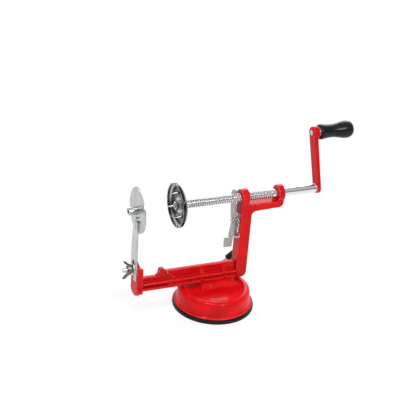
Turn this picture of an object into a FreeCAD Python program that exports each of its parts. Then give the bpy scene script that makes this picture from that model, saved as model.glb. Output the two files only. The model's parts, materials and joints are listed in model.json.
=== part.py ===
import FreeCAD, Part
import math
import os
import re
import Sketcher
from FreeCAD import Placement, Rotation, Vector

# Hand cranked spiral potato cutter on a suction base.
# Row frame: origin on the table under the middle of the suction cup,
# +X towards the crank, +Y to the back (suction lever side), +Z up.

doc = FreeCAD.newDocument("spiral_cutter")
sheet = doc.addObject("Spreadsheet::Sheet", "Sizes")

sizes = {
    # Screw shaft and feed
    "shaft_y": 12,
    "shaft_height": 143.5,
    "shaft_radius": 5.5,
    "shaft_left": -45,
    "thread_start": -42,
    "thread_end": 77,
    "thread_pitch": 3,
    "thread_depth": 0.9,
    "thread_crest": 0.7,
    "thread_root": 1,
    "running_gap": 0.05,
    "seat_gap": 0.02,

    # Frame casting
    "frame_front": 4,
    "frame_depth": 16,
    "frame_bottom": 30.5,
    "post_left": 31.5,
    "post_width": 15,
    "post_corner": 7,
    "flange_thickness": 3,
    "web_thickness": 5,
    "beam_top": 53,
    "shelf_top": 41,
    "shelf_thickness": 2.5,
    "low_end": -77,
    "low_top": 47.3,
    "arm_drop": 8.9,
    "arm_end": 90.5,
    "arm_height": 9.8,
    "arm_tip_height": 8,
    "arm_fillet": 6,
    "loop_radius": 10.6,
    "front_loop_length": 9.5,
    "rear_loop_length": 8.5,
    "rib_thickness": 4,
    "rib_left": -17,
    "rib_right": 14,
    "gusset_left": -69,
    "gusset_ridge": -58,
    "lug_left": -75.5,
    "lug_right": -66,
    "lug_top": 57.5,
    "lug_hole_x": -71,
    "lug_hole_radius": 1.6,
    "lug_hole_height": 53,

    # Blade bracket at the left end of the frame
    "bracket_face": -106,
    "bracket_width": 22,
    "bracket_plate": 4,
    "bracket_flange_length": 8.2,
    "bracket_flange": 3.5,
    "bracket_bottom": 24.5,
    "bracket_side_bottom": 28,
    "bracket_side_top": 66,
    "bracket_peak": 71.5,
    "foot_boss_top": 40,
    "foot_boss_depth": 1.6,
    "bolt_height": 61.5,
    "bolt_radius": 3,

    # Base housing, suction cup and stem
    "cup_radius": 52.5,
    "cup_rim_height": 4.8,
    "cup_disc_radius": 40,
    "cup_disc_top": 3.2,
    "foot_radius": 50.3,
    "foot_height": 2,
    "skirt_radius": 48,
    "skirt_top_radius": 46.2,
    "housing_top": 27,
    "housing_wall": 2.6,
    "shoulder_round": 6,
    "rim_width": 9.2,
    "dish_depth": 1,
    "pad_left": -20,
    "pad_right": 31,
    "pad_width": 38,
    "pad_side_slope": 4.5,
    "pad_face_slope": 7,
    "axle_x": 6,
    "axle_height": 13,
    "axle_radius": 3,
    "eccentric_throw": 6,
    "pin_radius": 2,
    "web_start": 9.3,
    "web_end": 12,
    "stem_head_radius": 6,
    "stem_head_under": 5,
    "stem_head_over": 7,
    "stem_radius": 4,
    "stem_spigot_radius": 2.5,
    "stem_plate_radius": 16,
    "stem_plate_thickness": 1.5,
    "stem_seat_gap": 0.1,
    "guide_rise": 5.4,
    "guide_wall": 2.9,
    "guide_gap": 0.08,
    "slot_gap": 0.15,
    "slot_extra": 0.9,
    "bush_radius": 5,
    "bush_inner_end": 38.5,
    "bush_outer_end": 50,
    "bush_boss_radius": 8,
    "bush_boss_end": 48.2,
    "clip_radius": 5.6,
    "clip_thickness": 1.2,

    # Suction lever
    "lever_plane": 54,
    "lever_rod_radius": 2.4,
    "lever_knee_x": 30,
    "lever_knee_height": 21.5,
    "lever_tip_x": 49.6,
    "lever_tip_height": 35.7,
    "tip_radius": 4.6,
    "tip_length": 20,
    "tip_round": 1.5,

    # Base screws
    "screw_left_x": -8,
    "screw_right_x": 20,
    "screw_radius": 2,
    "screw_hole_gap": 0.2,
    "screw_head_radius": 3.8,
    "screw_head_height": 2.8,
    "screw_washer_radius": 5,
    "screw_washer_thickness": 0.8,
    "screw_reach": 40.5,
    "screw_boss_radius": 5,

    # Potato fork
    "fork_dish_radius": 28,
    "dish_sheet": 1.2,
    "dish_rim_depth": 5,
    "dish_rim_round": 3,
    "fork_hub_radius": 8,
    "fork_hub_length": 5.4,
    "spigot_radius": 3,
    "fork_washer_radius": 6.5,
    "washer_thickness": 1.2,
    "nut_width": 10,
    "nut_height": 4,
    "spigot_extra": 1.5,
    "spike_circle": 17,
    "spike_count": 3,
    "spike_radius": 1.9,
    "spike_length": 11,
    "spike_head_radius": 3,
    "spike_head_height": 1,

    # Crank
    "crank_face": 138.3,
    "crank_length": 71.7,
    "crank_lean": 21,
    "crank_thickness": 5.5,
    "crank_boss_length": 9,
    "shaft_rivet_radius": 4.3,
    "shaft_rivet_height": 1,
    "crank_shaft_end": 6.8,
    "crank_grip_end": 7.8,
    "crank_round": 0.9,
    "square_width": 7,
    "thrust_washer_radius": 6.4,
    "thrust_washer_thickness": 1,

    # Grip
    "grip_axle_radius": 2.5,
    "grip_head_radius": 3.6,
    "grip_head_height": 1.2,
    "grip_washer_thickness": 1,
    "grip_washer_radius": 7,
    "grip_gap": 0.3,
    "grip_length": 48,
    "grip_flare_radius": 10.1,
    "grip_waist_radius": 8.3,
    "grip_waist_at": 18.5,
    "grip_bulb_radius": 11.6,
    "grip_bulb_at": 38,
    "grip_end_radius": 7.5,
    "grip_counterbore_radius": 5.4,
    "grip_counterbore_depth": 8,
    "grip_screw_head": 3,
    "plug_dome": 1.2,

    # Release lever and spring
    "plate_left": 24,
    "plate_thickness": 2,
    "pivot_drop": 31.5,
    "pivot_radius": 2.5,
    "pivot_head_radius": 3.8,
    "pivot_head_height": 2.2,
    "pivot_depth": 7,
    "pivot_gap": 0.1,
    "spacer_radius": 3.2,
    "strip_width": 10,
    "hook_offset": 0.9,
    "hook_bore_radius": 6.7,
    "hook_radius": 11,
    "hook_mouth": 11,
    "hook_mouth_drop": 7.5,
    "shoulder_back": 22,
    "shoulder_drop": 14.5,
    "waist_back": 18.5,
    "tooth_thickness": 0.7,
    "tooth_bite": 0.65,
    "tooth_spread": 20,
    "bend_drop": 7,
    "plate_reach": 35,
    "plate_lean": 3,
    "tab_length": 8.5,
    "tab_height": 13.5,
    "ear_y": 5.8,
    "ear_drop": 19.8,
    "ear_radius": 3.4,
    "ear_hole_radius": 1.6,
    "anchor_y": 5.8,
    "anchor_drop": 21.4,
    "anchor_radius": 1.1,
    "anchor_head_radius": 1.6,
    "anchor_head_height": 1,
    "anchor_stand": 5.2,
    "anchor_depth": 7,
    "spring_wire": 0.4,
    "spring_leg_radius": 0.38,
    "spring_radius": 2,
    "spring_x": 28.8,
    "spring_low_gap": 7.8,
    "spring_high_gap": 8.2,
    "spring_turns": 11,
    "spring_eye_radius": 3.9,
    "spring_eye_reach": 1.7,
    "spring_eye_lift": 0.7,
    "spring_eye_slack": 0.15,

    # Blade
    "blade_radius": 29,
    "blade_sheet": 1,
    "blade_step": 3,
    "blade_hub_radius": 5,
    "blade_hub_bore": 2.6,
    "blade_hub_length": 14,
    "blade_hub_front": 2,
    "support_sheet": 2,
    "support_foot_width": 18,
    "support_neck_width": 14,
    "support_foot_drop": 13.5,
    "support_shoulder_drop": 51.5,
    "support_neck_drop": 19.5,
    "support_slot_rise": 10,
    "support_top_drop": 16.5,
    "support_slot_gap": 0.3,
    "rivet_radius": 1.6,
    "rivet_head_radius": 2.8,
    "rivet_head_height": 0.9,
    "rivet_spacing": 8,
    "rivet_drop": 23.5,
    "bolt_head_radius": 6.5,
    "bolt_head_height": 3,
    "bolt_reach": 15.5,
    "clamp_washer_radius": 8,
    "clamp_washer_thickness": 1.4,
    "wing_hub_radius": 5.4,
    "wing_hub_length": 6.5,
    "wing_reach": 13,
    "wing_thickness": 2.4,
    "wing_tip_width": 7,
}
for row, (alias, number) in enumerate(sizes.items(), 1):
    sheet.set("A%d" % row, str(number))
    sheet.setAlias("A%d" % row, alias)

# Places that follow from the sizes
places = {
    "bolt_end": "bracket_face - bolt_reach",
    "arm_top": "shaft_height - arm_drop",
    "dish_radius": "skirt_top_radius - rim_width",
    "guide_bottom": "axle_height + guide_rise",
    "stem_head_bottom": "axle_height - stem_head_under",
    "stem_head_top": "axle_height + stem_head_over",
    "pivot_height": "shaft_height - pivot_drop",
    "hook_mouth_bottom": "shaft_height - hook_mouth_drop",
    "shoulder_height": "shaft_height - shoulder_drop",
    "ear_height": "shaft_height - ear_drop",
    "bend_height": "shaft_height - pivot_drop - bend_drop",
    "plate_bottom": "shaft_height - pivot_drop - plate_reach",
    "anchor_height": "shaft_height - pivot_drop - anchor_drop",
    "spring_low": "shaft_height - pivot_drop - anchor_drop + spring_low_gap",
    "spring_high": "shaft_height - ear_drop - spring_high_gap",
    "support_foot_bottom": "bolt_height - support_foot_drop",
    "support_foot_top": "shaft_height - support_shoulder_drop",
    "support_slot_top": "bolt_height + support_slot_rise",
    "support_neck_height": "shaft_height - support_neck_drop",
    "support_top": "shaft_height - support_top_drop",
    "rivet_height": "shaft_height - rivet_drop",
}


def formula(text):
    # Puts the name of its sheet before each alias
    return re.sub(r"(?<![\w.])(?!sin\b|cos\b|tan\b|sqrt\b|deg\b)([a-z]\w+)",
                  lambda found: ("Places." if found[1] in places else "Sizes.") + found[1], text)


place_sheet = doc.addObject("Spreadsheet::Sheet", "Places")
for row, (alias, text) in enumerate(places.items(), 1):
    place_sheet.set("A%d" % row, "=" + formula(text))
    place_sheet.setAlias("A%d" % row, alias)
doc.recompute()


def value(alias):
    return float((place_sheet if alias in places else sheet).get(alias))


def bind(thing, settings):
    for name, text in settings.items():
        thing.setExpression(name, formula(text))


# Bodies, sketches and features

def new_body(label, x="0", y="0", z="0"):
    body = doc.addObject("PartDesign::Body", label)
    body.Label = label
    for letter, text in (("x", x), ("y", y), ("z", z)):
        if text != "0":
            body.setExpression("Placement.Base." + letter, formula(text))
    return body


def origin_part(body, role):
    return next(part for part in body.Origin.OriginFeatures if part.Role == role)


def new_sketch(body, plane, offset="0"):
    sketch = body.newObject("Sketcher::SketchObject", body.Name + "_sketch")
    sketch.AttachmentSupport = [(origin_part(body, plane), "")]
    sketch.MapMode = "FlatFace"
    bind(sketch, {"AttachmentOffset.Base.z": offset})
    return sketch


def tie(sketch, geometry, point, x, y):
    # Ties one point of a sketch to formulas for both of its coordinates
    for kind, text in (("DistanceX", x), ("DistanceY", y)):
        index = sketch.addConstraint(Sketcher.Constraint(kind, -1, 1, geometry, point, 1.0))
        sketch.setExpression("Constraints[%d]" % index, formula(text))


def add_outline(sketch, points):
    # Closed outline of straight sides, each corner tied to the sheet
    first = sketch.GeometryCount
    count = len(points)
    turns = [math.tau * i / count for i in range(count)]
    start = [Vector(9 * math.cos(turn), 9 * math.sin(turn), 0) for turn in turns]
    for i in range(count):
        sketch.addGeometry(Part.LineSegment(start[i], start[(i + 1) % count]))
    for i in range(count):
        sketch.addConstraint(Sketcher.Constraint("Coincident", first + i, 2, first + (i + 1) % count, 1))
    for i, (x, y) in enumerate(points):
        tie(sketch, first + i, 1, x, y)


def add_circle(sketch, x, y, radius):
    index = sketch.addGeometry(Part.Circle(Vector(1, 1, 0), Vector(0, 0, 1), 5))
    tie(sketch, index, 3, x, y)
    number = sketch.addConstraint(Sketcher.Constraint("Radius", index, 5.0))
    sketch.setExpression("Constraints[%d]" % number, formula(radius))


def draw(sketch, shapes):
    # A shape is a circle (x, y, radius) or a list of corners
    for shape in shapes:
        if isinstance(shape, list):
            add_outline(sketch, shape)
        else:
            add_circle(sketch, *shape)


def slab(body, plane, low, high, *shapes, cut=False):
    # Material, or a cut, between two planes parallel to an origin plane
    start = high if cut else low
    if plane == "XZ_Plane":
        start = "-(%s)" % (low if cut else high)
    sketch = new_sketch(body, plane, start)
    draw(sketch, shapes)
    kind = "Pocket" if cut else "Pad"
    thing = body.newObject("PartDesign::" + kind, body.Name + "_" + kind)
    thing.Profile = sketch
    bind(thing, {"Length": "(%s) - (%s)" % (high, low)})


def turned(body, plane, axis, *shapes):
    sketch = new_sketch(body, plane)
    draw(sketch, shapes)
    thing = body.newObject("PartDesign::Revolution", body.Name + "_Revolution")
    thing.Profile = sketch
    thing.ReferenceAxis = (origin_part(body, axis), [""])
    thing.Angle = 360


def block(body, low_height, low_outline, high_height, high_outline):
    # Sloping block between two level outlines
    low_sketch = new_sketch(body, "XY_Plane", low_height)
    draw(low_sketch, [low_outline])
    high_sketch = new_sketch(body, "XY_Plane", high_height)
    draw(high_sketch, [high_outline])
    thing = body.newObject("PartDesign::AdditiveLoft", body.Name + "_Loft")
    thing.Profile = low_sketch
    thing.Sections = [high_sketch]
    thing.Ruled = True


def rounded(body, radius, wanted):
    # Fillet on the edges of the body's last feature that the test picks
    doc.recompute()
    base = body.Tip
    names = ["Edge%d" % (i + 1) for i, edge in enumerate(base.Shape.Edges) if wanted(edge)]
    if not names:
        raise ValueError("no edge to round on " + body.Label)
    thing = body.newObject("PartDesign::Fillet", body.Name + "_Fillet")
    thing.Base = (base, names)
    bind(thing, {"Radius": radius})


def near(a, b):
    return abs(a - b) < 0.01


def along_y(edge, x, z):
    # True for a straight edge along Y at this X and Z
    box = edge.BoundBox
    thin = box.XLength < 0.01 and box.ZLength < 0.01
    return thin and near(box.Center.x, x) and near(box.Center.z, z)


def level_hoop(edge, radius, height):
    # True for a level circle of this radius and height
    box = edge.BoundBox
    return box.ZLength < 0.01 and near(box.XLength, 2 * radius) and near(box.Center.z, height)


def turned_part(label, axis, points, x="0", y="0", z="0"):
    # A round piece about its own X, Y or Z axis; points are (along, radius)
    body = new_body(label, x, y, z)
    plane = "YZ_Plane" if axis == "Y_Axis" else "XZ_Plane"
    corners = [(radius, along) for along, radius in points] if axis == "Z_Axis" else points
    turned(body, plane, axis, corners)
    return body


def collar(label, start, end, bore, radius, x="0", y="shaft_y", z="shaft_height", axis="X_Axis"):
    # A plain washer, bush or collar
    points = [(start, bore), (end, bore), (end, radius), (start, radius)]
    return turned_part(label, axis, points, x, y, z)


def hex_nut(label, start, end, bore, width):
    nut = new_body(label, "0", "shaft_y", "shaft_height")
    reach = "%s / 2 / cos(30)" % width
    corners = [("%s * cos(%d)" % (reach, turn), "%s * sin(%d)" % (reach, turn)) for turn in range(0, 360,
            60)]
    slab(nut, "YZ_Plane", start, end, corners, ("0", "0", bore))
    return nut


def box_points(x_low, x_high, y_low, y_high):
    return [(x_low, y_low), (x_high, y_low), (x_high, y_high), (x_low, y_high)]


def group(label, members):
    thing = doc.addObject("Part::Compound", label)
    thing.Label = label
    thing.Links = members
    return thing


def own_shape(label, shape, x=0, y=0, z=0):
    thing = doc.addObject("Part::Feature", label)
    thing.Label = label
    thing.Shape = shape
    thing.Placement = Placement(Vector(x, y, z), Rotation())
    return thing


def tube_along(points, radius):
    # Round rod through the points, with its bends rounded
    edges = []
    cursor = points[0]
    for i in range(1, len(points) - 1):
        back = points[i - 1] - points[i]
        ahead = points[i + 1] - points[i]
        reach = min(back.Length, ahead.Length) * 0.45
        back.normalize()
        ahead.normalize()
        half = back.getAngle(ahead) / 2
        bisector = (back + ahead).normalize()
        middle = points[i] + bisector * (reach / math.cos(half) - reach * math.tan(half))
        leave = points[i] + ahead * reach
        edges.append(Part.LineSegment(cursor, points[i] + back * reach).toShape())
        edges.append(Part.Arc(points[i] + back * reach, middle, leave).toShape())
        cursor = leave
    edges.append(Part.LineSegment(cursor, points[-1]).toShape())
    circle = Part.Wire([Part.Circle(points[0], points[1] - points[0], radius).toShape()])
    return Part.Wire(edges).makePipeShell([circle], True, True)


nodes = []


# Frame casting

post_right = "post_left + post_width"
frame_back = "frame_front + frame_depth"
frame_middle = "frame_front + frame_depth / 2"
web_front = "frame_front + frame_depth / 2 - web_thickness / 2"
web_back = "frame_front + frame_depth / 2 + web_thickness / 2"
bracket_inner = "bracket_face + bracket_plate"
bracket_front = "shaft_y - bracket_width / 2"
bracket_back = "shaft_y + bracket_width / 2"
flange_end = "bracket_face + bracket_flange_length"
arm_under = "arm_top - arm_height"
arm_tip_under = "arm_top - arm_tip_height"
shelf_under = "shelf_top - shelf_thickness"


def make_frame():
    frame = new_body("frame_casting")
    # Post and the arm that carries the rear loop
    slab(frame, "XZ_Plane", "frame_front", frame_back, [
        ("post_left", "frame_bottom"), (post_right, "frame_bottom"), (post_right, arm_under),
        ("arm_end", arm_tip_under), ("arm_end", "arm_top"), ("post_left", "arm_top")])
    low = value("frame_bottom")
    right = value("post_left") + value("post_width")
    under = value("arm_top") - value("arm_height")
    end = value("arm_end")
    end_under = value("arm_top") - value("arm_tip_height")
    rounded(frame, "post_corner", lambda edge: along_y(edge, right, low))
    rounded(frame, "arm_fillet", lambda edge: along_y(edge, right, under) or along_y(edge, end, end_under))
    # Beam: bottom flange, shelf and upright web with its low left end and lug
    slab(frame, "XZ_Plane", "frame_front", frame_back,
         box_points(bracket_inner + " - 1", "post_left + 1", "frame_bottom",
                    "frame_bottom + flange_thickness"))
    slab(frame, "XZ_Plane", "frame_front", frame_back,
         box_points(bracket_inner + " - 1", "post_left + 1", shelf_under, "shelf_top"))
    slab(frame, "XZ_Plane", web_front, web_back, [
        (bracket_inner + " - 1", "frame_bottom + 1"), ("post_left + 1", "frame_bottom + 1"),
        ("post_left + 1", "beam_top"), ("lug_right + 2", "beam_top"), ("lug_right", "lug_top - 2"),
        ("lug_right - 2", "lug_top"), ("lug_left + 4", "lug_top"), ("lug_left + 2", "lug_top - 2"),
        ("lug_left + 1", "low_top + 2"), ("low_end", "low_top"), (bracket_inner + " - 1", "low_top")])
    slab(frame, "XZ_Plane", web_front + " - 1", web_back + " + 1",
         ("lug_hole_x", "lug_hole_height", "lug_hole_radius"), cut=True)
    # Upright ribs between the flange and the shelf, with a low fin above the shelf
    for rib in ("rib_left", "rib_right"):
        slab(frame, "XZ_Plane", "frame_front", frame_back,
             box_points(rib, rib + " + rib_thickness", "frame_bottom + 1", "shelf_top - 1"))
        slab(frame, "YZ_Plane", rib, rib + " + rib_thickness", [
            ("frame_front + 1", "shelf_top - 1"), (frame_back + " - 1", "shelf_top - 1"),
            (web_back + " - 0.5", "beam_top - 1"), (web_front + " + 0.5", "beam_top - 1")])
    # Sloping gusset beside the lug
    block(frame, "frame_bottom + flange_thickness - 0.5", [
        ("gusset_left", web_front + " + 1"), ("gusset_ridge + 1", "frame_front + 0.2"),
        ("gusset_ridge + 4", "frame_front + 0.2"), ("gusset_ridge + 6", web_front + " + 1")],
        "beam_top - 0.3", [
        ("gusset_left + 6", web_front + " + 1"), ("gusset_ridge - 4", web_front + " - 0.6"),
        ("gusset_ridge - 2", web_front + " - 0.6"), ("gusset_ridge", web_front + " + 1")])
    # Bracket that the blade is bolted to: gabled plate with two side flanges
    slab(frame, "YZ_Plane", "bracket_face", bracket_inner, [
        (bracket_front, "bracket_side_bottom"), ("shaft_y - 4", "bracket_bottom"),
        ("shaft_y + 4", "bracket_bottom"), (bracket_back, "bracket_side_bottom"),
        (bracket_back, "bracket_side_top"), ("shaft_y + 2.5", "bracket_peak"),
        ("shaft_y - 2.5", "bracket_peak"), (bracket_front, "bracket_side_top")])
    outline = [
        ("bracket_face + 0.5", "bracket_side_bottom"), (flange_end, "frame_bottom + 0.5"),
        (flange_end, "bracket_side_top - 1"), ("bracket_face + 0.5", "bracket_side_top")]
    slab(frame, "XZ_Plane", bracket_front, bracket_front + " + bracket_flange", outline)
    slab(frame, "XZ_Plane", bracket_back + " - bracket_flange", bracket_back, outline)
    slab(frame, "YZ_Plane", "bracket_face", flange_end, [
        (bracket_front + " + 0.5", "bracket_side_bottom + 1"), (bracket_front + " + 0.5", "foot_boss_top"),
        (bracket_front + " - foot_boss_depth", "foot_boss_top - 4"),
        (bracket_front + " - foot_boss_depth", "bracket_side_bottom + 2")])
    # Loops that the screw shaft runs in
    for start, length in (("post_left", "front_loop_length"),
                          ("arm_end - rear_loop_length", "rear_loop_length")):
        slab(frame, "YZ_Plane", start, start + " + " + length,
             box_points("frame_front", frame_back, "arm_top - 1", "shaft_height"))
        slab(frame, "YZ_Plane", start, start + " + " + length, ("shaft_y", "shaft_height", "loop_radius"))
    slab(frame, "YZ_Plane", "post_left - 1", "arm_end + 1",
         ("shaft_y", "shaft_height", "shaft_radius + running_gap"), cut=True)
    # Bosses for the base screws, then every drilled hole
    for place in ("screw_left_x", "screw_right_x"):
        slab(frame, "XY_Plane", "frame_bottom + 0.5", "shelf_top - 0.5",
             (place, frame_middle, "screw_boss_radius"))
        slab(frame, "XY_Plane", "frame_bottom - 1", "screw_reach + 1",
             (place, frame_middle, "screw_radius + seat_gap"), cut=True)
    slab(frame, "YZ_Plane", "bracket_face - 1", bracket_inner + " + 1",
         ("shaft_y", "bolt_height", "bolt_radius + seat_gap"), cut=True)
    slab(frame, "YZ_Plane", "post_left - 1", "post_left + pivot_depth + 0.5",
         ("shaft_y", "pivot_height", "pivot_radius + seat_gap"), cut=True)
    slab(frame, "YZ_Plane", "post_left - 1", "post_left + anchor_depth + 0.5",
         ("anchor_y", "anchor_height", "anchor_radius + seat_gap"), cut=True)
    return frame


nodes.append(make_frame())


# Base housing: hollow turned shell with a raised pad, stem guide and lever boss

roof = "housing_top - dish_depth - housing_wall"
guide_bore = "stem_head_radius + guide_gap"


def make_housing():
    housing = new_body("base_housing")
    turned(housing, "XZ_Plane", "Z_Axis", [
        ("skirt_radius - housing_wall", "cup_rim_height"), ("foot_radius", "cup_rim_height"),
        ("foot_radius", "cup_rim_height + foot_height"),
        ("skirt_radius", "cup_rim_height + foot_height + 0.8"),
        ("skirt_top_radius", "housing_top"), ("dish_radius + dish_depth", "housing_top"),
        ("dish_radius", "housing_top - dish_depth"), ("0", "housing_top - dish_depth"), ("0", roof),
        ("skirt_top_radius - housing_wall - 3", roof),
        ("skirt_top_radius - housing_wall - 0.5", roof + " - 3")])
    top = value("housing_top")
    rim = value("skirt_top_radius")
    rounded(housing, "shoulder_round", lambda edge: level_hoop(edge, rim, top))
    front = frame_middle + " - pad_width / 2"
    back = frame_middle + " + pad_width / 2"
    block(housing, "housing_top - dish_depth - 0.5", box_points("pad_left", "pad_right", front, back),
          "frame_bottom", box_points("pad_left + pad_side_slope", "pad_right - pad_side_slope",
                                     front + " + pad_face_slope", back + " - pad_face_slope"))
    slab(housing, "XY_Plane", "guide_bottom", roof + " + 0.5", ("0", "0", guide_bore + " + guide_wall"))
    slab(housing, "XY_Plane", "guide_bottom - 1", roof, ("0", "0", guide_bore), cut=True)
    # Boss for the lever bush at the back
    slab(housing, "XZ_Plane", "bush_inner_end", "bush_boss_end",
         ("axle_x", "axle_height", "bush_boss_radius"))
    slab(housing, "XZ_Plane", "bush_inner_end - 1", "bush_boss_end + 3",
         ("axle_x", "axle_height", "bush_radius + seat_gap"), cut=True)
    for place in ("screw_left_x", "screw_right_x"):
        slab(housing, "XY_Plane", roof + " - 1", "frame_bottom + 1",
             (place, frame_middle, "screw_radius + screw_hole_gap"), cut=True)
    return housing


nodes.append(make_housing())


# Suction cup, the stem that the lever pulls up, and the stem's plate

nodes.append(turned_part("suction_cup", "Z_Axis", [
    ("0", "0"), ("0", "cup_radius - 1"), ("1.2", "cup_radius"), ("cup_rim_height - 1", "cup_radius"),
    ("cup_rim_height", "cup_radius - 1"), ("cup_rim_height", "cup_disc_radius + 4"),
    ("cup_disc_top", "cup_disc_radius"), ("cup_disc_top", "0")]))

stem_bottom = "cup_disc_top + stem_seat_gap"
stem_plate_top = "cup_disc_top + stem_seat_gap + stem_plate_thickness"


def make_stem():
    stem = new_body("suction_stem")
    turned(stem, "XZ_Plane", "Z_Axis", [
        ("0", stem_bottom), ("stem_spigot_radius", stem_bottom), ("stem_spigot_radius", stem_plate_top),
        ("stem_radius", stem_plate_top), ("stem_radius", "stem_head_bottom"),
        ("stem_head_radius", "stem_head_bottom"), ("stem_head_radius", "stem_head_top"),
        ("0", "stem_head_top")])
    slab(stem, "XZ_Plane", "-stem_head_radius - 1", "stem_head_radius + 1",
         box_points("-pin_radius - slot_gap", "pin_radius + slot_gap + slot_extra",
                    "axle_height - pin_radius - slot_gap", "axle_height + pin_radius + slot_gap"), cut=True)
    return stem


nodes.append(make_stem())
nodes.append(collar("stem_plate", stem_bottom, stem_plate_top, "stem_spigot_radius + seat_gap",
                    "stem_plate_radius", "0", "0", "0", "Z_Axis"))


# Suction lever: axle with an eccentric pin inside, bent rod and grip tip outside

def make_lever():
    back = Vector(0, 1, 0)
    x = value("axle_x")
    z = value("axle_height")
    radius = value("axle_radius")
    pin_x = x - value("eccentric_throw")
    start = value("web_start")
    width = value("web_end") - start
    plane = value("lever_plane")
    pin_start = -value("stem_head_radius") - 0.5
    axle = Part.makeCylinder(radius, plane - start, Vector(x, start, z), back)
    pin = Part.makeCylinder(value("pin_radius"), value("web_end") - pin_start,
                            Vector(pin_x, pin_start, z), back)
    web = Part.makeBox(x - pin_x, width, 2 * radius, Vector(pin_x, start, z - radius))
    web_end = Part.makeCylinder(radius, width, Vector(pin_x, start, z), back)
    elbow_middle = Vector(x, plane, z)
    knee = Vector(value("lever_knee_x"), plane, value("lever_knee_height"))
    end = Vector(value("lever_tip_x"), plane, value("lever_tip_height"))
    rod = tube_along([elbow_middle, knee, end], value("lever_rod_radius"))
    elbow = Part.makeSphere(radius, elbow_middle)
    return axle.fuse([pin, web, web_end, rod, elbow])


nodes.append(own_shape("suction_lever", make_lever()))


def make_tip():
    # Moulded grip pushed over the end of the rod
    plane = value("lever_plane")
    radius = value("tip_radius")
    length = value("tip_length")
    knee = Vector(value("lever_knee_x"), plane, value("lever_knee_height"))
    middle = Vector(value("lever_tip_x"), plane, value("lever_tip_height"))
    along = (middle - knee).normalize()
    start = middle - along * (length / 2)
    grip = Part.makeCylinder(radius, length, start, along)
    ends = [edge for edge in grip.Edges if near(edge.Length, math.tau * radius)]
    grip = grip.makeFillet(value("tip_round"), ends)
    return grip.cut(Part.makeCylinder(value("lever_rod_radius") + value("seat_gap"), length / 2 + 0.1,
                                      start, along))


nodes.append(own_shape("lever_tip", make_tip()))
nodes.append(collar("lever_bush", "bush_inner_end", "bush_outer_end", "axle_radius + running_gap",
                    "bush_radius",
                    "axle_x", "0", "axle_height", "Y_Axis"))
nodes.append(collar("lever_clip", "bush_inner_end - clip_thickness - 0.1", "bush_inner_end - 0.1",
                    "axle_radius + seat_gap", "clip_radius", "axle_x", "0", "axle_height", "Y_Axis"))


# Base screws and their washers, up through the housing into the frame

screw_seat = "housing_top - dish_depth - housing_wall - screw_washer_thickness"


def base_screw(label, place):
    return turned_part(label, "Z_Axis", [
        (screw_seat + " - screw_head_height", "0"),
        (screw_seat + " - screw_head_height", "screw_head_radius - 1"),
        (screw_seat + " - screw_head_height + 1", "screw_head_radius"), (screw_seat, "screw_head_radius"),
        (screw_seat, "screw_radius"), ("screw_reach", "screw_radius"), ("screw_reach", "0")],
        place, frame_middle)


def base_washer(label, place):
    return collar(label, screw_seat, roof, "screw_radius + screw_hole_gap", "screw_washer_radius",
                  place, frame_middle, "0", "Z_Axis")


nodes.append(group("base_screws", [
    base_screw("base_screw_left", "screw_left_x"), base_screw("base_screw_right", "screw_right_x")]))
nodes.append(group("base_washers", [
    base_washer("base_washer_left", "screw_left_x"), base_washer("base_washer_right", "screw_right_x")]))


# Screw shaft: spigot for the fork at the left, square and spigot for the crank at the right

dish_right = "shaft_left - fork_hub_length"
dish_left = "shaft_left - fork_hub_length - dish_sheet"
fork_washer_left = "shaft_left - fork_hub_length - dish_sheet - washer_thickness"
fork_nut_left = fork_washer_left + " - nut_height"
crank_outer = "crank_face + crank_thickness"
crank_boss = "crank_face + crank_boss_length"


def thread_groove():
    # Right handed groove, turned so that the release plate's tooth sits in it
    start = value("thread_start")
    pitch = value("thread_pitch")
    radius = value("shaft_radius")
    depth = value("thread_depth")
    half_root = value("thread_root") / 2
    half_mouth = (pitch - value("thread_crest")) / 2
    over = 0.4
    half_over = half_mouth + (half_mouth - half_root) * over / depth
    corners = [Vector(radius + over, 0, -half_over), Vector(radius - depth, 0, -half_root),
               Vector(radius - depth, 0, half_root), Vector(radius + over, 0, half_over)]
    profile = Part.makePolygon(corners + [corners[0]])
    helix = Part.makeHelix(pitch, value("thread_end") - start, radius)
    groove = Part.Wire(helix).makePipeShell([profile], True, True)
    tooth_middle = value("plate_left") + value("plate_thickness") / 2
    groove.rotate(Vector(), Vector(0, 0, 1), 90 - 360 * (tooth_middle - start) / pitch)
    groove.rotate(Vector(), Vector(0, 1, 0), 90)
    groove.translate(Vector(start, 0, 0))
    return groove


def make_shaft():
    right = Vector(1, 0, 0)
    left = value("shaft_left")
    spigot = value("spigot_radius")
    extra = value("spigot_extra")
    tip = left - value("fork_hub_length") - value("dish_sheet") - value("washer_thickness")
    tip = tip - value("nut_height") - extra
    face = value("crank_face")
    outer = face + value("crank_thickness")
    square = value("square_width")
    bar = Part.makeCylinder(value("shaft_radius"), face - left, Vector(left, 0, 0), right)
    ends = [edge for edge in bar.Edges if near(edge.Length, math.tau * value("shaft_radius"))]
    bar = bar.makeChamfer(0.5, ends)
    fork_end = Part.makeCylinder(spigot, left - tip, Vector(tip, 0, 0), right)
    rivet = value("shaft_rivet_radius")
    crank_end = Part.makeCone(rivet, rivet - 1.2, value("shaft_rivet_height"), Vector(outer, 0, 0), right)
    drive = Part.makeBox(outer - face, square, square, Vector(face, -square / 2, -square / 2))
    return bar.fuse([fork_end, crank_end, drive]).cut(thread_groove())


nodes.append(own_shape("crank_shaft", make_shaft(), 0, value("shaft_y"), value("shaft_height")))


# Potato fork on the shaft's left end

def spike_places():
    count = int(value("spike_count"))
    turns = [90 + 360 * i // count for i in range(count)]
    return [("spike_circle * cos(%d)" % turn, "spike_circle * sin(%d)" % turn) for turn in turns]


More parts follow.
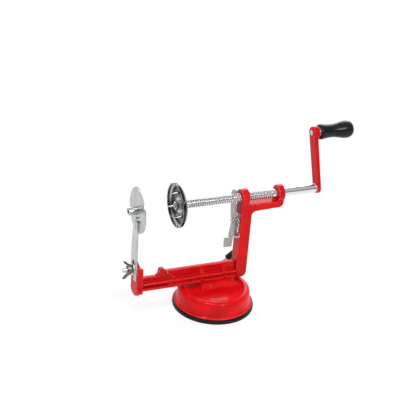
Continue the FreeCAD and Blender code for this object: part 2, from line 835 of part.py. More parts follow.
def make_dish():
    dish = turned_part("fork_dish", "X_Axis", [
        (dish_right, "spigot_radius + seat_gap"), (dish_right, "fork_dish_radius - dish_rim_round"),
        (dish_right + " - dish_rim_round", "fork_dish_radius"),
        (dish_left + " - dish_rim_depth", "fork_dish_radius"),
        (dish_left + " - dish_rim_depth", "fork_dish_radius - dish_sheet"),
        (dish_right + " - dish_rim_round", "fork_dish_radius - dish_sheet"),
        (dish_left, "fork_dish_radius - dish_rim_round - dish_sheet / 2"),
        (dish_left, "spigot_radius + seat_gap")],
        "0", "shaft_y", "shaft_height")
    for y, z in spike_places():
        slab(dish, "YZ_Plane", dish_left + " - 1", dish_right + " + 1", (y, z, "spike_radius + seat_gap"),
             cut=True)
    return dish


def fork_spike(label, y, z):
    return turned_part(label, "X_Axis", [
        (dish_left + " - spike_length", "0"), (dish_left + " - 3", "spike_radius"),
        (dish_right, "spike_radius"),
        (dish_right, "spike_head_radius"), (dish_right + " + spike_head_height", "spike_head_radius - 0.8"),
        (dish_right + " + spike_head_height", "0")], "0", "shaft_y + " + y, "shaft_height + " + z)


nodes.append(collar("fork_hub", dish_right, "shaft_left", "spigot_radius + seat_gap", "fork_hub_radius"))
nodes.append(make_dish())
nodes.append(collar("fork_washer", fork_washer_left, dish_left, "spigot_radius + seat_gap",
                    "fork_washer_radius"))
nodes.append(hex_nut("fork_nut", fork_nut_left, fork_washer_left, "spigot_radius + seat_gap", "nut_width"))
nodes.append(group("fork_spikes", [
    fork_spike("fork_spike_%d" % (i + 1), y, z) for i, (y, z) in enumerate(spike_places())]))


# Crank arm, leaning to the back from the shaft

def leaned(across, along):
    y = "(%s) * cos(crank_lean) + (%s) * sin(crank_lean)" % (across, along)
    z = "(%s) * cos(crank_lean) - (%s) * sin(crank_lean)" % (along, across)
    return y, z


def make_crank():
    crank = new_body("crank_arm", "0", "shaft_y", "shaft_height")
    slab(crank, "YZ_Plane", "crank_face", crank_outer, [
        leaned("-crank_shaft_end", "0"), leaned("crank_shaft_end", "0"),
        leaned("crank_grip_end", "crank_length"),
        leaned("-crank_grip_end", "crank_length")])
    slab(crank, "YZ_Plane", "crank_face", crank_outer, ("0", "0", "crank_shaft_end"))
    slab(crank, "YZ_Plane", "crank_face", crank_outer, leaned("0", "crank_length") + ("crank_grip_end",))
    rounded(crank, "crank_round", lambda edge: edge.BoundBox.XLength < 0.01)
    # Boss that carries the grip's axle
    slab(crank, "YZ_Plane", crank_outer + " - 1.5", crank_boss,
         leaned("0", "crank_length") + ("crank_grip_end",))
    boss_end = value("crank_face") + value("crank_boss_length")
    rounded(crank, "crank_round", lambda edge: near(edge.BoundBox.XMin, boss_end))
    slab(crank, "YZ_Plane", "crank_face - 1", crank_outer + " + 1", box_points(
        "-square_width / 2 - seat_gap", "square_width / 2 + seat_gap",
        "-square_width / 2 - seat_gap", "square_width / 2 + seat_gap"), cut=True)
    slab(crank, "YZ_Plane", "crank_face - 1", crank_boss + " + 1",
         leaned("0", "crank_length") + ("grip_axle_radius + seat_gap",), cut=True)
    return crank


nodes.append(make_crank())
nodes.append(collar("thrust_washer", "crank_face - thrust_washer_thickness - 0.1", "crank_face - 0.1",
                    "shaft_radius + running_gap", "thrust_washer_radius"))


# Grip that turns on its axle at the end of the crank

grip_y = "shaft_y + crank_length * sin(crank_lean)"
grip_z = "shaft_height + crank_length * cos(crank_lean)"
grip_start = "crank_face + crank_boss_length + grip_washer_thickness + grip_gap"
grip_end = grip_start + " + grip_length"
screw_face = grip_end + " - grip_counterbore_depth + grip_gap"

nodes.append(turned_part("grip_axle", "X_Axis", [
    ("crank_face - grip_head_height", "0"), ("crank_face - grip_head_height", "grip_head_radius - 1.2"),
    ("crank_face - 0.5", "grip_head_radius"), ("crank_face", "grip_head_radius"),
    ("crank_face", "grip_axle_radius"),
    (screw_face, "grip_axle_radius"), (screw_face, "grip_counterbore_radius - 0.6"),
    (screw_face + " + grip_screw_head", "grip_counterbore_radius - 0.6"),
    (screw_face + " + grip_screw_head", "0")], "0", grip_y, grip_z))
nodes.append(collar("grip_washer", crank_boss, crank_boss + " + grip_washer_thickness",
                    "grip_axle_radius + seat_gap", "grip_washer_radius", "0", grip_y, grip_z))


def make_grip():
    # Waisted handle, round about X, bored for its axle and counterbored at the end
    length = value("grip_length")
    flare = value("grip_flare_radius")
    waist = value("grip_waist_radius")
    bulb = value("grip_bulb_radius")
    waist_at = value("grip_waist_at")
    bulb_at = value("grip_bulb_at")
    end = value("grip_end_radius")
    bore = value("grip_axle_radius") + value("running_gap")
    counterbore = value("grip_counterbore_radius")
    shoulder = length - value("grip_counterbore_depth")
    side = Part.BSplineCurve()
    side.interpolate([Vector(0.8, 0, flare), Vector(waist_at * 0.4, 0, flare - (flare - waist) * 0.7),
                      Vector(waist_at, 0, waist), Vector((waist_at + bulb_at) / 2, 0, (waist + bulb) / 2),
                      Vector(bulb_at, 0, bulb), Vector(length - 3.2, 0, bulb * 0.88),
                      Vector(length, 0, end)])
    lines = [Vector(length, 0, end), Vector(length, 0, counterbore), Vector(shoulder, 0, counterbore),
             Vector(shoulder, 0, bore), Vector(0, 0, bore), Vector(0, 0, flare - 0.8),
             Vector(0.8, 0, flare)]
    edges = [Part.LineSegment(a, b).toShape() for a, b in zip(lines, lines[1:])]
    outline = Part.Wire([side.toShape()] + edges)
    return Part.Face(outline).revolve(Vector(), Vector(1, 0, 0), 360)


def place_grip():
    lean = math.radians(value("crank_lean"))
    y = value("shaft_y") + value("crank_length") * math.sin(lean)
    z = value("shaft_height") + value("crank_length") * math.cos(lean)
    washer_end = value("crank_face") + value("crank_boss_length") + value("grip_washer_thickness")
    x = washer_end + value("grip_gap")
    return own_shape("handle_grip", make_grip(), x, y, z)


nodes.append(place_grip())
plug_start = screw_face + " + grip_screw_head + grip_gap"
nodes.append(turned_part("grip_plug", "X_Axis", [
    (plug_start, "0"), (plug_start, "grip_counterbore_radius - seat_gap"),
    (grip_end, "grip_counterbore_radius - seat_gap"),
    (grip_end + " + plug_dome * 0.7", "grip_counterbore_radius * 0.6"),
    (grip_end + " + plug_dome", "0")], "0", grip_y, grip_z))


# Release plate that hooks round the screw thread from behind and pivots on the post

plate_right = "plate_left + plate_thickness"
hook_y = "shaft_y - hook_offset"
strip_front = "shaft_y - strip_width / 2"
strip_back = "shaft_y + strip_width / 2"
tooth_low = "plate_left + plate_thickness / 2 - tooth_thickness / 2"
tooth_root = "shaft_y + hook_bore_radius - hook_offset + 1"
tooth_reach = "(shaft_radius - tooth_bite)"


def make_release():
    plate = new_body("release_plate")
    slab(plate, "YZ_Plane", "plate_left", plate_right, [
        (strip_back, "bend_height"), ("waist_back", "pivot_height"), ("shoulder_back", "shoulder_height"),
        ("shaft_y + hook_radius - 0.5", "shaft_height"), ("hook_mouth + 1", "shaft_height"),
        ("hook_mouth", "hook_mouth_bottom"), ("ear_y + 2", "ear_height + ear_radius - 0.3"),
        ("ear_y", "ear_height + ear_radius - 0.6"), ("ear_y", "ear_height - ear_radius + 0.6"),
        (strip_front + " + 0.5", "ear_height - ear_radius"), (strip_front, "pivot_height"),
        (strip_front, "bend_height")])
    slab(plate, "YZ_Plane", "plate_left", plate_right, ("shaft_y", "shaft_height", "hook_radius"))
    slab(plate, "YZ_Plane", "plate_left", plate_right, ("ear_y", "ear_height", "ear_radius"))
    # The lower strip leans away from the post and ends in a finger tab
    slab(plate, "XZ_Plane", strip_front, strip_back, [
        ("plate_left", "bend_height + 0.5"), (plate_right, "bend_height + 0.5"),
        (plate_right + " - plate_lean", "plate_bottom"), ("plate_left - plate_lean", "plate_bottom")])
    slab(plate, "XZ_Plane", strip_front, strip_front + " + plate_thickness", box_points(
        "plate_left - plate_lean - tab_length", "plate_left - plate_lean + 1.5", "plate_bottom",
        "plate_bottom + tab_height"))
    slab(plate, "YZ_Plane", "plate_left - 1", plate_right + " + 1",
         (hook_y, "shaft_height", "hook_bore_radius"),
         cut=True)
    slab(plate, "YZ_Plane", "plate_left - 1", plate_right + " + 1", box_points(
        "shaft_y - hook_radius - 2", "hook_mouth", "hook_mouth_bottom",
        "shaft_height + hook_radius + 2"), cut=True)
    slab(plate, "YZ_Plane", "plate_left - 1", plate_right + " + 1",
         ("shaft_y", "pivot_height", "pivot_radius + running_gap"), cut=True)
    slab(plate, "YZ_Plane", "plate_left - 1", plate_right + " + 1",
         ("ear_y", "ear_height", "ear_hole_radius"),
         cut=True)
    # Thin tooth at the back of the hook that sits in the thread
    side_y = "shaft_y + " + tooth_reach + " * cos(tooth_spread)"
    side_z = tooth_reach + " * sin(tooth_spread)"
    slab(plate, "YZ_Plane", tooth_low, tooth_low + " + tooth_thickness", [
        (side_y, "shaft_height - " + side_z), (tooth_root, "shaft_height - " + side_z),
        (tooth_root, "shaft_height + " + side_z), (side_y, "shaft_height + " + side_z),
        ("shaft_y + " + tooth_reach, "shaft_height")])
    return plate


nodes.append(make_release())
pivot_seat = "plate_left - pivot_gap"
nodes.append(turned_part("pivot_screw", "X_Axis", [
    (pivot_seat + " - pivot_head_height", "0"),
    (pivot_seat + " - pivot_head_height", "pivot_head_radius - 1"),
    (pivot_seat + " - pivot_head_height + 1", "pivot_head_radius"), (pivot_seat, "pivot_head_radius"),
    (pivot_seat, "pivot_radius"), ("post_left + pivot_depth", "pivot_radius"),
    ("post_left + pivot_depth", "0")],
    "0", "shaft_y", "pivot_height"))
nodes.append(collar("pivot_spacer", plate_right + " + pivot_gap", "post_left", "pivot_radius + seat_gap",
                    "spacer_radius", "0", "shaft_y", "pivot_height"))
anchor_seat = "post_left - anchor_stand"
nodes.append(turned_part("spring_anchor", "X_Axis", [
    (anchor_seat + " - anchor_head_height", "0"),
    (anchor_seat + " - anchor_head_height", "anchor_head_radius - 0.4"),
    (anchor_seat + " - 0.4", "anchor_head_radius"), (anchor_seat, "anchor_head_radius"),
    (anchor_seat, "anchor_radius"), ("post_left + anchor_depth", "anchor_radius"),
    ("post_left + anchor_depth", "0")], "0", "anchor_y", "anchor_height"))


def make_spring():
    # Extension spring between the plate's ear and its anchor screw on the post
    wire = value("spring_wire")
    radius = value("spring_radius")
    eye = value("spring_eye_radius")
    low = value("spring_low")
    high = value("spring_high")
    x = value("spring_x")
    y = value("ear_y")
    helix = Part.makeHelix((high - low) / value("spring_turns"), high - low, radius)
    circle = Part.Wire([Part.Circle(Vector(radius, 0, 0), Vector(0, 1, 0), wire).toShape()])
    coil = Part.Wire(helix).makePipeShell([circle], True, True)
    coil.translate(Vector(x, y, low))
    # The lower eye passes slantwise round the anchor, the upper one through the ear
    anchor_under = value("anchor_height") - value("anchor_radius")
    bottom = Vector(x - wire / 2, y, anchor_under - value("spring_eye_slack") + eye - wire)
    plate_middle = value("plate_left") + value("plate_thickness") / 2
    top_height = value("ear_height") + value("spring_eye_lift")
    top = Vector(plate_middle + value("spring_eye_reach"), y, top_height - eye)
    pieces = [
        Part.makeTorus(eye, wire, bottom, Vector(4, 3, 0)),
        Part.makeTorus(eye, wire, top, Vector(0, 1, 0))]
    for start, end in ((bottom + Vector(0, 0, eye), Vector(x + radius, y, low)),
                       (top - Vector(0, 0, eye), Vector(x + radius, y, high))):
        leg = Part.makeCylinder(value("spring_leg_radius"), (end - start).Length, start, end - start)
        pieces.append(leg)
    return coil.fuse(pieces)


nodes.append(own_shape("release_spring", make_spring()))


# Spiral blade: slit disc, centre tube, and the forked strip it is riveted to

def make_blade():
    # The slit's back lip stands out towards the potato and its front lip away from it
    inner = value("blade_hub_radius") + value("seat_gap")
    radius = value("blade_radius")
    half_step = value("blade_step") / 2
    steps = 36
    flat = 0.2
    near_points = []
    far_points = []
    for i in range(steps + 1):
        part = -0.99 + 1.98 * i / steps
        rise = max(0.0, (abs(part) - flat) / (1 - flat)) ** 1.4
        offset = math.copysign(half_step * rise, part)
        turn = math.radians(-90 + 180 * part)
        near_points.append(Vector(offset, inner * math.cos(turn), inner * math.sin(turn)))
        far_points.append(Vector(offset, radius * math.cos(turn), radius * math.sin(turn)))
    curves = []
    for points in (near_points, far_points):
        curve = Part.BSplineCurve()
        curve.interpolate(points)
        curves.append(curve.toShape())
    thickness = Vector(value("blade_sheet"), 0, 0)
    disc = Part.makeRuledSurface(curves[0], curves[1]).extrude(thickness)
    drill = value("rivet_radius") + value("seat_gap")
    for height in (value("rivet_height"), value("rivet_height") + value("rivet_spacing")):
        centre = Vector(-half_step, 0, height - value("shaft_height"))
        disc = disc.cut(Part.makeCylinder(drill, 2 * half_step + thickness.x, centre, Vector(1, 0, 0)))
    return disc


nodes.append(own_shape("blade_disc", make_blade(), value("bracket_face"), value("shaft_y"),
                       value("shaft_height")))
nodes.append(collar("blade_hub", "bracket_face - blade_hub_length + blade_hub_front",
                    "bracket_face + blade_hub_front", "blade_hub_bore", "blade_hub_radius"))


def make_blade_arm():
    arm = new_body("blade_arm")
    left = "bracket_face - support_sheet"
    slab(arm, "YZ_Plane", left, "bracket_face", [
        ("shaft_y - support_foot_width / 2", "support_foot_bottom"),
        ("shaft_y + support_foot_width / 2", "support_foot_bottom"),
        ("shaft_y + support_foot_width / 2", "support_foot_top"),
        ("shaft_y + support_neck_width / 2", "support_neck_height"),
        ("shaft_y + support_neck_width / 2", "support_top"),
        ("shaft_y - support_neck_width / 2", "support_top"),
        ("shaft_y - support_neck_width / 2", "support_neck_height"),
        ("shaft_y - support_foot_width / 2", "support_foot_top")])
    slab(arm, "YZ_Plane", left, "bracket_face", ("shaft_y", "support_top", "support_neck_width / 2"))
    slot = "(bolt_radius + support_slot_gap)"
    slab(arm, "YZ_Plane", left + " - 1", "bracket_face + 1",
         box_points("shaft_y - " + slot, "shaft_y + " + slot, "support_foot_bottom - 1",
                    "support_slot_top"), cut=True)
    slab(arm, "YZ_Plane", left + " - 1", "bracket_face + 1", ("shaft_y", "support_slot_top", slot),
         cut=True)
    for place in ("rivet_height", "rivet_height + rivet_spacing"):
        slab(arm, "YZ_Plane", left + " - 1", "bracket_face + 1",
             ("shaft_y", place, "rivet_radius + seat_gap"), cut=True)
    return arm


nodes.append(make_blade_arm())


def blade_rivet(label, height):
    left = "bracket_face - support_sheet"
    right = "bracket_face + blade_sheet"
    return turned_part(label, "X_Axis", [
        (left + " - rivet_head_height", "0"), (left + " - rivet_head_height", "rivet_head_radius * 0.6"),
        (left + " - 0.2", "rivet_head_radius"), (left, "rivet_head_radius"), (left, "rivet_radius"),
        (right, "rivet_radius"), (right, "rivet_head_radius"), (right + " + 0.2", "rivet_head_radius"),
        (right + " + rivet_head_height", "rivet_head_radius * 0.6"), (right + " + rivet_head_height", "0")],
        "0", "shaft_y", height)


nodes.append(group("blade_rivets", [
    blade_rivet("blade_rivet_low", "rivet_height"),
    blade_rivet("blade_rivet_high", "rivet_height + rivet_spacing")]))


# Bolt, washer and wing nut that clamp the blade to the bracket

clamp_face = "bracket_face - support_sheet"
wing_face = "bracket_face - support_sheet - clamp_washer_thickness"

nodes.append(turned_part("blade_bolt", "X_Axis", [
    ("bolt_end", "0"), ("bolt_end", "bolt_radius - 0.6"), ("bolt_end + 0.6", "bolt_radius"),
    (bracket_inner, "bolt_radius"), (bracket_inner, "bolt_head_radius"),
    (bracket_inner + " + 0.8", "bolt_head_radius"),
    (bracket_inner + " + bolt_head_height", "bolt_head_radius * 0.55"),
    (bracket_inner + " + bolt_head_height", "0")], "0", "shaft_y", "bolt_height"))
nodes.append(collar("wing_washer", wing_face, clamp_face, "bolt_radius + running_gap",
                    "clamp_washer_radius",
                    "0", "shaft_y", "bolt_height"))


def make_wing_nut():
    nut = new_body("wing_nut", "0", "shaft_y", "bolt_height")
    slab(nut, "YZ_Plane", wing_face + " - wing_hub_length", wing_face, ("0", "0", "wing_hub_radius"))
    for side in ("", "-"):
        slab(nut, "XZ_Plane", "-wing_thickness / 2", "wing_thickness / 2", [
            (wing_face + " - 1", side + "(wing_hub_radius - 2)"),
            (wing_face + " - 1", side + "wing_hub_radius"),
            (wing_face + " - 3.5", side + "wing_reach * 0.96"),
            (wing_face + " - 5", side + "wing_reach"),
            (wing_face + " - 3.5 - wing_tip_width", side + "wing_reach"),
            (wing_face + " - 4.5 - wing_tip_width", side + "wing_reach * 0.88"),
            (wing_face + " - wing_hub_length - 1", side + "wing_hub_radius"),
            (wing_face + " - wing_hub_length + 1", side + "(wing_hub_radius - 2)")])
    slab(nut, "YZ_Plane", wing_face + " - wing_hub_length - 1", wing_face + " + 1",
         ("0", "0", "bolt_radius + running_gap"), cut=True)
    return nut


nodes.append(make_wing_nut())


# Checks, then one STEP file for each sub-part

doc.recompute()
for thing in doc.Objects:
    if "Invalid" in thing.State or "Error" in thing.State:
        raise ValueError("%s did not compute: %s" % (thing.Label, thing.State))
for node in nodes:
    if node.Shape.isNull() or not node.Shape.isValid():
        raise ValueError(node.Label + " has no valid shape")
os.makedirs("parts", exist_ok=True)
for node in nodes:
    node.Shape.exportStep("parts/%s.step" % node.Label)
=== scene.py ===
import json
import math

import bmesh
import bpy
from mathutils import Matrix, Vector


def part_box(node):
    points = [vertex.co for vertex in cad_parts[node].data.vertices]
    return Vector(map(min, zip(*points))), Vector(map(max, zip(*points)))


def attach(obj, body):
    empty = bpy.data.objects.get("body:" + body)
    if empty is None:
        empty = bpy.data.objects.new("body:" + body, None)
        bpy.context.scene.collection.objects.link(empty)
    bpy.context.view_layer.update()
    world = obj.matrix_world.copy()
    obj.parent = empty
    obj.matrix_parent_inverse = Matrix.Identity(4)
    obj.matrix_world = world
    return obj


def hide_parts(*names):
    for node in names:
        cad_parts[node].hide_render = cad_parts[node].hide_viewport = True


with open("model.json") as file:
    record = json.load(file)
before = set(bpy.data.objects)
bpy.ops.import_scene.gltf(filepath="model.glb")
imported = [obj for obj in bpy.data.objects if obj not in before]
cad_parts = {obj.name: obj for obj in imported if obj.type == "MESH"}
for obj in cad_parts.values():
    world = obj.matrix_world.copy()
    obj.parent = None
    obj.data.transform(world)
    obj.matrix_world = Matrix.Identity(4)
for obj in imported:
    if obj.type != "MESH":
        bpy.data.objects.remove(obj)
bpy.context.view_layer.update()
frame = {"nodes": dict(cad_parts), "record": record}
record = frame["record"]
milli = 0.001
mergeDistance = 0.001 * milli


# Camera

cameraView = {
    "azimuth": 24.8,
    "elevation": 26.7,
    "roll": 4.6,
    "distance": 1.51,
    "shiftRight": -0.016,
    "shiftUp": 0.1334,
    "lens": 104.85,
}


def placeFacing(piece, place, right, up, back):
    turn = Matrix((right, up, back)).transposed().to_4x4()
    piece.matrix_world = Matrix.Translation(place) @ turn


def addCamera():
    azimuth = math.radians(cameraView["azimuth"])
    elevation = math.radians(cameraView["elevation"])
    roll = math.radians(cameraView["roll"])
    level = math.cos(elevation)
    back = Vector((-math.sin(azimuth) * level, -math.cos(azimuth) * level, math.sin(elevation)))
    side = Vector((0, 0, 1)).cross(back).normalized()
    top = back.cross(side)
    right = side * math.cos(roll) + top * math.sin(roll)
    up = top * math.cos(roll) - side * math.sin(roll)
    place = right * cameraView["shiftRight"] + up * cameraView["shiftUp"] + back * cameraView["distance"]
    camera = bpy.data.objects.new("camera", bpy.data.cameras.new("camera"))
    camera.data.lens = cameraView["lens"]
    camera.data.clip_start = 0.05
    camera.data.clip_end = 60
    bpy.context.scene.collection.objects.link(camera)
    placeFacing(camera, place, right, up, back)
    bpy.context.scene.camera = camera


addCamera()
print("camera in place")


# Nodes: sums on a Wire add Math nodes, every other node comes from Nodes.node

class Wire:
    def __init__(self, nodes, socket):
        self.nodes = nodes
        self.socket = socket

    def __add__(self, other):
        return self.nodes.sums("ADD", self, other)

    __radd__ = __add__

    def __sub__(self, other):
        return self.nodes.sums("SUBTRACT", self, other)

    def __rsub__(self, other):
        return self.nodes.sums("SUBTRACT", other, self)

    def __mul__(self, other):
        return self.nodes.sums("MULTIPLY", self, other)

    __rmul__ = __mul__


class Nodes:
    def __init__(self, tree):
        self.tree = tree

    def node(self, kind, settings, sockets, output=0):
        made = self.tree.nodes.new(kind)
        for name, value in settings.items():
            if name == "stops":
                self.setStops(made.color_ramp.elements, value)
            else:
                setattr(made, name, value)
        for socket, value in sockets.items():
            if isinstance(value, Wire):
                self.tree.links.new(value.socket, made.inputs[socket])
            else:
                made.inputs[socket].default_value = value
        return Wire(self, made.outputs[output])

    def setStops(self, elements, stops):
        # The first two stops are the ends that a new ramp has
        for number, (position, colour) in enumerate(stops):
            stop = elements[number] if number < 2 else elements.new(position)
            stop.position = position
            stop.color = colour

    def sums(self, operation, first, second, clamp=False):
        settings = {"operation": operation, "use_clamp": clamp}
        return self.node("ShaderNodeMath", settings, {0: first, 1: second})

    def clamped(self, wire):
        return self.sums("MULTIPLY", wire, 1, True)

    def ramp(self, wire, low, high):
        # 0 below low, 1 above high
        return self.node("ShaderNodeMapRange", {"interpolation_type": "SMOOTHSTEP"},
                         {"Value": wire, "From Min": low, "From Max": high})

    def blend(self, mask, first, second):
        # The Mix node has its colours on sockets 6 and 7 and gives their blend on output 2
        return self.node("ShaderNodeMix", {"data_type": "RGBA"}, {0: mask, 6: first, 7: second}, 2)

    def lightPath(self, ray):
        return self.node("ShaderNodeLightPath", {}, {}, ray)


class Finish(Nodes):
    # A material, with what its patterns are made of
    def __init__(self, name, constants):
        self.material = bpy.data.materials.new(name)
        self.material.use_nodes = True
        super().__init__(self.material.node_tree)
        self.shader = self.tree.nodes["Principled BSDF"]
        for socket, value in constants.items():
            self.shader.inputs[socket].default_value = value
        self.place = self.node("ShaderNodeTexCoord", {}, {}, "Object")

    def noise(self, size, detail, roughness=0.5, place=None):
        # size is that of one blotch, in metres
        return self.node("ShaderNodeTexNoise", {}, {
            "Vector": place or self.place, "Scale": 1 / size, "Detail": detail, "Roughness": roughness})

    def stretched(self, along):
        # Coordinates squeezed along each axis, so that noise turns into streaks
        return self.node("ShaderNodeMapping", {}, {"Vector": self.place, "Scale": along})

    def along(self):
        return self.node("ShaderNodeSeparateXYZ", {}, {"Vector": self.place}, "X")

    def reachFrom(self, axis):
        # Distance from the line along X through axis
        centred = self.node("ShaderNodeMapping", {}, {
            "Vector": self.place, "Location": (0, -axis.y, -axis.z), "Scale": (0, 1, 1)})
        return self.node("ShaderNodeVectorMath", {"operation": "LENGTH"}, {0: centred}, "Value")

    def rounded(self, radius):
        # The normal of a surface whose edges are rounded
        return self.node("ShaderNodeBevel", {"samples": 6}, {"Radius": radius})

    def edges(self, rounded):
        # 0 on a flat face, more where the rounded normal leans away from it
        flat = self.node("ShaderNodeNewGeometry", {}, {}, "Normal")
        same = self.node("ShaderNodeVectorMath", {"operation": "DOT_PRODUCT"}, {0: rounded, 1: flat}, "Value")
        return 1 - same

    def bump(self, height, depth, normal):
        self.feed("Normal", self.node("ShaderNodeBump", {}, {
            "Height": height, "Distance": depth, "Strength": 1.0, "Normal": normal}))

    def feed(self, socket, wire):
        self.tree.links.new(wire.socket, self.shader.inputs[socket])


def shade(red, green, blue):
    return (red, green, blue, 1)


# Detail and roughness of a noise
cloudy = (4, 0.55)
scratched = (3, 0.6)
dimpled = (2, 0.4)


# Red enamel over a casting: gloss with a slight orange peel, paler on its convex edges as wear and painted
# highlight, darker in inner corners as painted shade

enamel = {
    "red": shade(0.64, 0.003, 0.006),
    "deep": shade(0.53, 0.002, 0.004),
    "cornerShadeTone": shade(0.2, 0.0015, 0.003),
    "paleWearHighlightAndDust": shade(0.88, 0.24, 0.2),
    "roughness": 0.3,
    "shine": 0.07,  # specular level under the coat
    "coat": 0.16,
    "coatRoughness": 0.05,
    "cloudSize": 26 * milli,
    "cloudRange": (0.35, 0.7),
    "cloudRough": 0.12,  # what the clouds add to the roughness
    "wearAndHighlightRange": (0.51, 0.585),  # pointiness from which an edge gets pale wear and a painted highlight
    "wearAndHighlightLeast": 0.35,  # wear and painted highlight between the patches
    "wearAndHighlightShare": 0.75,
    "wearRough": 0.2,
    "coatLoss": 0.06,
    "patchSize": 7 * milli,
    "patchRange": (0.36, 0.6),
    "cornerShadeRange": (0.4, 0.485),  # pointiness below which inner corners get painted shade
    "cornerShadeShare": 0.7,
    "dustSize": 0.9 * milli,
    "dustRange": (0.68, 0.76),
    "dustShare": 0.06,
    "dustRough": 0.1,
    "peelSize": 2.2 * milli,
    "waveSize": 9 * milli,
    "waveShare": 0.7,
    "peelDepth": 0.012 * milli,
    "edgeRadius": 0.5 * milli,
}


def enamelFinish(name, tone, peel):
    finish = Finish(name, {"Specular IOR Level": enamel["shine"], "Coat Roughness": enamel["coatRoughness"]})
    cloud = finish.noise(enamel["cloudSize"], 2)
    swell = finish.node("ShaderNodeNewGeometry", {}, {}, "Pointiness")
    patches = finish.ramp(finish.noise(enamel["patchSize"], 4), *enamel["patchRange"])
    spread = enamel["wearAndHighlightLeast"] + (1 - enamel["wearAndHighlightLeast"]) * patches
    # Convex edges turn pale: partly wear, partly a painted highlight along the ridges
    wearAndHighlight = finish.ramp(swell, *enamel["wearAndHighlightRange"]) * spread
    # Painted shade: inner corners, found by their low pointiness, are darkened
    cornerShadeMask = 1 - finish.ramp(swell, *enamel["cornerShadeRange"])
    dust = finish.ramp(finish.noise(enamel["dustSize"], 2), *enamel["dustRange"])
    colour = finish.blend(finish.ramp(cloud, *enamel["cloudRange"]), enamel["deep"], tone)
    colour = finish.blend(cornerShadeMask * enamel["cornerShadeShare"], colour, enamel["cornerShadeTone"])
    colour = finish.blend(wearAndHighlight * enamel["wearAndHighlightShare"], colour, enamel["paleWearHighlightAndDust"])
    colour = finish.blend(dust * enamel["dustShare"], colour, enamel["paleWearHighlightAndDust"])
    finish.feed("Base Color", colour)
    finish.feed("Roughness", enamel["roughness"] + enamel["cloudRough"] * cloud
                + enamel["wearRough"] * wearAndHighlight + enamel["dustRough"] * dust)
    finish.feed("Coat Weight", finish.clamped(enamel["coat"] - enamel["coatLoss"] * wearAndHighlight))
    wave = finish.noise(enamel["waveSize"], *dimpled)
    skin = finish.noise(enamel["peelSize"], *dimpled) + enamel["waveShare"] * wave
    finish.bump(skin, enamel["peelDepth"] * peel, finish.rounded(enamel["edgeRadius"]))
    return finish.material


# Plated and bare metals

plating = {
    "constants": {"Metallic": 1.0, "IOR": 1.5},
    "cloudRange": (0.3, 0.75),
    "cloudShare": 0.6,
    "cloudRough": 0.1,
    "streakSize": 1.2 * milli,
    "streakShare": 0.3,
    "streakRough": 0.14,
    "edgeRadius": 0.25 * milli,
    "edgeGain": 4,
    "edgePolish": 0.05,  # roughness that an edge loses
}


def platedFinish(name, bright, dull, roughness, grain, grainDepth, blotch=18 * milli):
    finish = Finish(name, plating["constants"])
    cloud = finish.noise(blotch, *cloudy)
    streaks = finish.noise(plating["streakSize"], *scratched, finish.stretched(grain))
    rounded = finish.rounded(plating["edgeRadius"])
    edge = finish.clamped(plating["edgeGain"] * finish.edges(rounded))
    clouds = plating["cloudShare"] * finish.ramp(cloud, *plating["cloudRange"])
    mask = finish.clamped(clouds + plating["streakShare"] * streaks)
    finish.feed("Base Color", finish.blend(mask, bright, dull))
    finish.feed("Roughness", roughness + plating["cloudRough"] * cloud
                + plating["streakRough"] * streaks - plating["edgePolish"] * edge)
    finish.bump(streaks, grainDepth, rounded)
    return finish.material


# Chromed screw: the thread's grooves are painted darker, as painted shade

shaftCentre = sum(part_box("fork_hub"), Vector()) / 2
castLow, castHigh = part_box("frame_casting")
screw = {
    "axis": shaftCentre,
    "grooveFloor": 4.7 * milli,
    "crest": 5.35 * milli,
    "threadEnd": castHigh.x - 12 * milli,
    "runOut": 0.2 * milli,
    "bright": shade(0.86, 0.86, 0.87),
    "dull": shade(0.7, 0.7, 0.72),
    "grooveShadeTone": shade(0.42, 0.42, 0.42),
    "roughness": 0.1,
    "grooveRough": 0.3,
    "cloudSize": 20 * milli,
    "cloudShare": 0.5,
    "cloudRough": 0.08,
    "scratchSize": 0.6 * milli,
    "scratchAlong": (1, 0.12, 0.12),
    "scratchShare": 0.2,
    "scratchRough": 0.06,
    "scratchDepth": 0.0015 * milli,
    "edgeRadius": 0.2 * milli,
}


def screwFinish(name):
    finish = Finish(name, plating["constants"])
    groove = 1 - finish.ramp(finish.reachFrom(screw["axis"]), screw["grooveFloor"], screw["crest"])
    plain = finish.ramp(finish.along(), screw["threadEnd"], screw["threadEnd"] + screw["runOut"])
    groove = groove * (1 - plain)
    cloud = finish.noise(screw["cloudSize"], *cloudy)
    scratches = finish.noise(screw["scratchSize"], *scratched, finish.stretched(screw["scratchAlong"]))
    mask = finish.clamped(screw["cloudShare"] * cloud + screw["scratchShare"] * scratches)
    colour = finish.blend(mask, screw["bright"], screw["dull"])
    # Painted shade in the thread's grooves
    finish.feed("Base Color", finish.blend(groove, colour, screw["grooveShadeTone"]))
    finish.feed("Roughness", screw["roughness"] + screw["cloudRough"] * cloud
                + screw["scratchRough"] * scratches + screw["grooveRough"] * groove)
    finish.bump(scratches, screw["scratchDepth"], finish.rounded(screw["edgeRadius"]))
    return finish.material


# Fork dish: polished, with painted shade and a painted dark reflection in its hollow and a painted dark
# reflection on its outer wall, grey on its lip and round the hub

dishLow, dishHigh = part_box("fork_dish")
dishRadius = dishHigh.z - (dishLow.z + dishHigh.z) / 2
dish = {
    "axis": (dishLow + dishHigh) / 2,
    "front": dishHigh.x - 2.4 * milli,  # the spikes stay bright before this
    "frontBlur": 0.3 * milli,
    "hollowStart": 9 * milli,
    "hollowEnd": dishRadius - 1.8 * milli,
    "hollowBlur": 2.5 * milli,
    "hollowLeast": 0.85,  # least share of painted shade between the clouds
    "wallStart": dishRadius - 0.9 * milli,
    "wallBlur": 0.4 * milli,
    "wallReflectionShare": 0.93,
    "bright": shade(0.46, 0.46, 0.465),
    "shadeAndReflectionTone": shade(0.02, 0.02, 0.021),
    "roughness": 0.07,
    "cloudSize": 16 * milli,
    "cloudRough": 0.1,
    "scratchSize": 0.5 * milli,
    "scratchRough": 0.05,
    "scratchDepth": 0.0015 * milli,
    "edgeRadius": 0.25 * milli,
}


